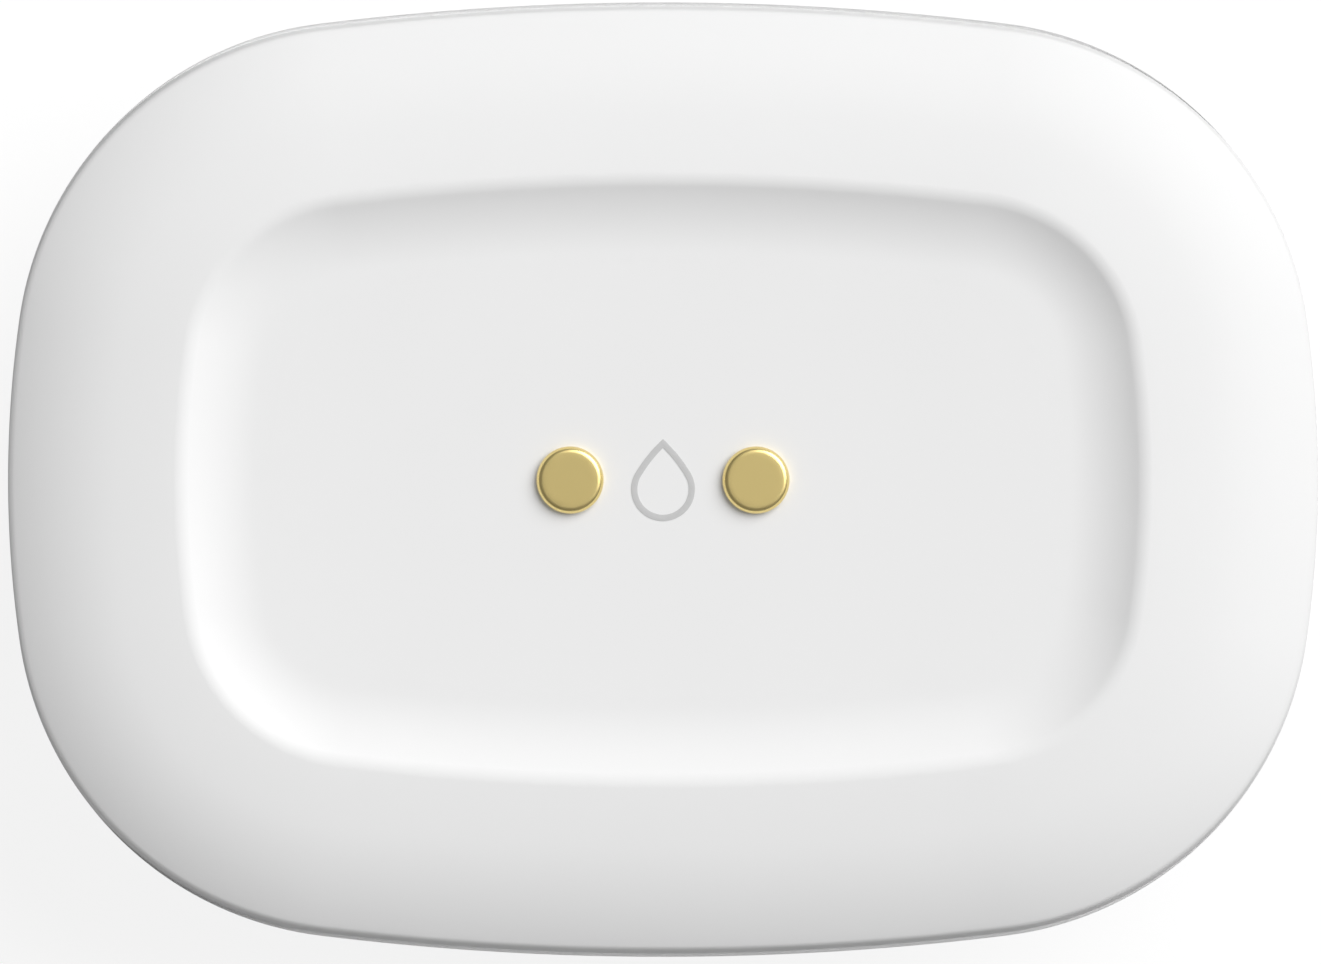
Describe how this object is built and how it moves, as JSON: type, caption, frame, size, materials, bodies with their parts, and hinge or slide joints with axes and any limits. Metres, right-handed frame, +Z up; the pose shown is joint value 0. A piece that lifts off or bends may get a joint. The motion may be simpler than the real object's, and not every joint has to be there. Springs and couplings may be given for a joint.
{
  "type": "water leak sensor",
  "caption": "pebble-shaped white water leak sensor with gold-plated probes in a shallow dish on top and under the case, lift-off battery door, removable cell and sprung pairing button",
  "frame": {"origin": "on the surface that the foot pads stand on, under the middle of the case", "axes": "+Z up out of the dish, +X along the case towards the right of the picture, +Y towards the tip of the drop"},
  "size_m": [0.055, 0.0402, 0.0205],
  "materials": {
    "cover_white": "satin white moulded plastic",
    "base_white": "satin white moulded plastic",
    "door_white": "satin white moulded plastic",
    "silicone": "soft pale silicone",
    "foot_rubber": "matte grey elastomer",
    "screw_steel": "plated steel",
    "board_green": "satin solder mask",
    "gold": "gold plating, matte on the faces",
    "nut_brass": "turned brass",
    "ring_rubber": "black rubber",
    "holder_black": "black moulded plastic",
    "spring_steel": "nickel-plated strip",
    "can_steel": "drawn steel",
    "sleeve_grey": "plain shrink sleeve",
    "washer_white": "pressed fibre",
    "button_grey": "satin grey plastic",
    "switch_black": "black moulded plastic",
    "shield_tin": "tinned sheet",
    "chip_black": "moulded epoxy",
    "ceramic_tan": "fired ceramic",
    "light_lens": "clear resin"
  },
  "bodies": {
    "case": {"top_cover": "cover_white", "base_case": "base_white", "cover_seal": "silicone", "foot_pads": "foot_rubber", "case_screws": "screw_steel", "board_screws": "screw_steel", "circuit_board": "board_green", "upper_probe_left": "gold", "upper_probe_right": "gold", "lower_probe_left": "gold", "lower_probe_right": "gold", "upper_probe_nuts": "nut_brass", "lower_probe_nuts": "nut_brass", "upper_probe_seals": "ring_rubber", "lower_probe_seals": "ring_rubber", "contact_pin_barrels": "nut_brass", "contact_pin_plungers": "gold", "battery_holder": "holder_black", "positive_contact": "spring_steel", "negative_contact": "spring_steel", "tact_switch": "switch_black", "radio_module": "board_green", "radio_shield": "shield_tin", "antenna": "spring_steel", "microcontroller": "chip_black", "crystal": "shield_tin", "temperature_sensor": "chip_black", "capacitors": "ceramic_tan", "resistors": "chip_black", "status_light": "light_lens"},
    "door": {"battery_door": "door_white", "door_seal": "silicone"},
    "cell": {"cell_can": "can_steel", "cell_sleeve": "sleeve_grey", "cell_washer": "washer_white"},
    "button": {"pairing_button": "button_grey", "switch_plunger": "button_grey"}
  },
  "joints": [
    {"name": "door_lift", "type": "slide", "parent": "case", "child": "door", "axis": [0, 0, -1], "range_m": [0, 0.044]},
    {"name": "cell_lift", "type": "slide", "parent": "case", "child": "cell", "axis": [0, 0, -1], "range_m": [0, 0.022]},
    {"name": "button_press", "type": "slide", "parent": "case", "child": "button", "axis": [0, 0, 1], "range_m": [0, 0.0003], "stiffness_N_per_m": 400, "springref_m": -0.0002}
  ],
  "couplings": [
    {"joint": "cell_lift", "follows": "door_lift", "ratio": 0.5}
  ]
}
